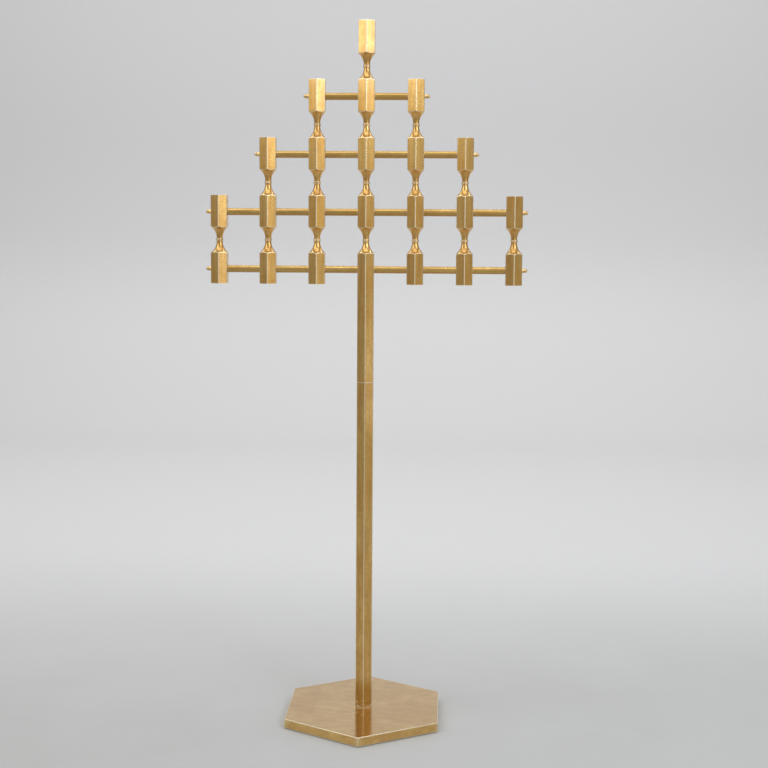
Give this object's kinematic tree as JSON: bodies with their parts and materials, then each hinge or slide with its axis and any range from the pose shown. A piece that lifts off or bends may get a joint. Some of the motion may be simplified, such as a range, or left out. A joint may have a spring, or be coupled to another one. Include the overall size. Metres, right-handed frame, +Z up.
{
  "type": "menorah",
  "caption": "Free-standing brass menorah: a hexagonal stem on a hexagonal plate, with a stepped grid of waisted hexagonal bodies and round rods carrying a row of candle cups.",
  "frame": {"origin": "centre of the underside of the base", "axes": "+X along the row of candles, -Y to the front, +Z up along the stem"},
  "size_m": [0.525, 0.2886, 1.145],
  "materials": {
    "bar_brass": "satin polished, aged",
    "plate_brass": "satin, fine straight brushing, aged",
    "rod_brass": "satin drawn rod, darker",
    "nut_brass": "polished",
    "steel": "zinc plated",
    "felt": "matt felt"
  },
  "bodies": {
    "stand": {"base_felt": "felt", "base_plate": "plate_brass", "base_bolt": "steel", "base_washer": "steel", "lower_stem": "bar_brass"},
    "stem_screw": {"stem_stud": "steel"},
    "head": {"upper_stem": "bar_brass", "drop_c1": "bar_brass", "drop_c2": "bar_brass", "drop_c3": "bar_brass", "drop_c5": "bar_brass", "drop_c6": "bar_brass", "drop_c7": "bar_brass", "link_t2_c2": "bar_brass", "link_t2_c3": "bar_brass", "link_t2_c4": "bar_brass", "link_t2_c5": "bar_brass", "link_t2_c6": "bar_brass", "link_t3_c3": "bar_brass", "link_t3_c4": "bar_brass", "link_t3_c5": "bar_brass", "link_t4_c4": "bar_brass", "cup_c1": "bar_brass", "cup_c2": "bar_brass", "cup_c3": "bar_brass", "cup_c5": "bar_brass", "cup_c6": "bar_brass", "cup_c7": "bar_brass", "spacer_t1_a": "rod_brass", "spacer_t1_b": "rod_brass", "spacer_t1_c": "rod_brass", "spacer_t1_d": "rod_brass", "spacer_t1_e": "rod_brass", "spacer_t1_f": "rod_brass", "spacer_t2_a": "rod_brass", "spacer_t2_b": "rod_brass", "spacer_t2_c": "rod_brass", "spacer_t2_d": "rod_brass", "spacer_t2_e": "rod_brass", "spacer_t2_f": "rod_brass", "spacer_t3_a": "rod_brass", "spacer_t3_b": "rod_brass", "spacer_t3_c": "rod_brass", "spacer_t3_d": "rod_brass", "spacer_t4_a": "rod_brass", "spacer_t4_b": "rod_brass", "tie_rod_t1": "steel", "tie_rod_t2": "steel", "tie_rod_t3": "steel", "tie_rod_t4": "steel", "cap_nuts_t1": "nut_brass", "cap_nuts_t2": "nut_brass", "cap_nuts_t3": "nut_brass", "cap_nuts_t4": "nut_brass", "waist_studs": "steel"},
    "cup_screw": {"cup_c4_stud": "steel"},
    "top_cup": {"cup_c4": "bar_brass"}
  },
  "joints": [
    {"name": "stem_thread_lift", "type": "slide", "parent": "stand", "child": "stem_screw", "axis": [0, 0, 1], "range_m": [0, 0.018]},
    {"name": "stem_thread_turn", "type": "hinge", "parent": "stem_screw", "child": "head", "pos_m": [0, 0, 0.562], "axis": [0, 0, 1], "range_deg": [0, 4320]},
    {"name": "cup_thread_lift", "type": "slide", "parent": "head", "child": "cup_screw", "axis": [0, 0, 1], "range_m": [0, 0.015]},
    {"name": "cup_thread_turn", "type": "hinge", "parent": "cup_screw", "child": "top_cup", "pos_m": [0, 0, 1.0725], "axis": [0, 0, 1], "range_deg": [0, 5400]}
  ],
  "couplings": [
    {"joint": "stem_thread_lift", "follows": "stem_thread_turn", "m_per_rad": 0.00023873},
    {"joint": "cup_thread_turn", "follows": "cup_thread_lift", "rad_per_m": 6283.2}
  ]
}
